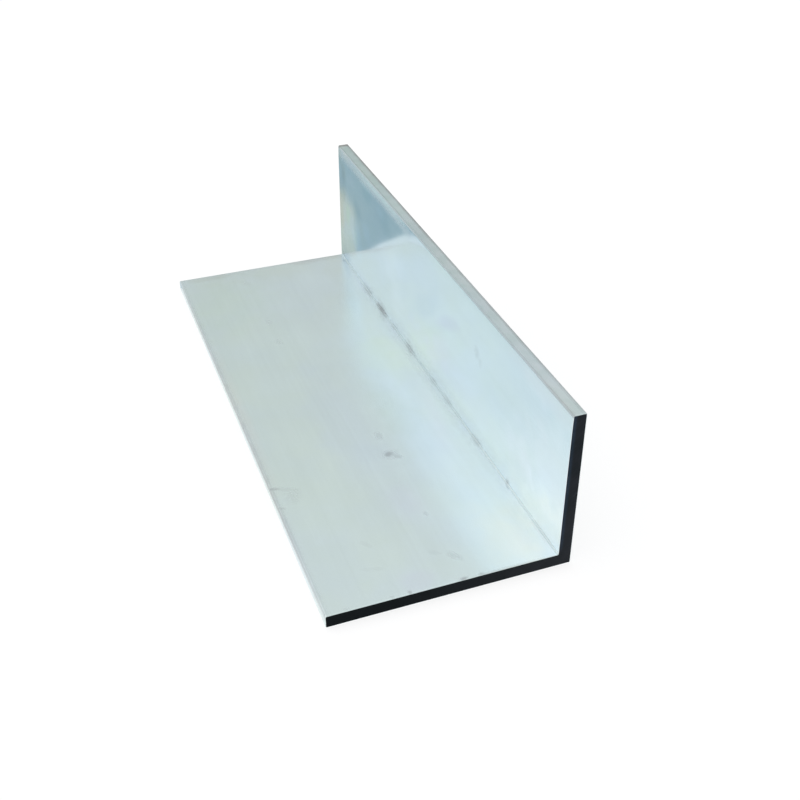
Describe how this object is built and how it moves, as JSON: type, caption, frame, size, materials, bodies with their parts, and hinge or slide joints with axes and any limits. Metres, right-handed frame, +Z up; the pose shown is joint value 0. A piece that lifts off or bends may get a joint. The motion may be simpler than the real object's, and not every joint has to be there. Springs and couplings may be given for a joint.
{
  "type": "metal angle section",
  "caption": "Short sawn length of unequal L-section aluminium angle: wide flat leg, narrower upright leg, small root fillet, sharp heel.",
  "frame": {"origin": "middle of the flat leg's underside, half way along the length, on the surface that the angle lies on", "axes": "+Z up, along the upright leg; +Y along the length; +X from the flat leg's toe to the heel"},
  "size_m": [0.07, 0.19, 0.05],
  "materials": {
    "mill_aluminium": "bright mill finish with faint die lines along the length, sawn ends"
  },
  "bodies": {
    "root": {"angle_section": "mill_aluminium"}
  },
  "joints": []
}
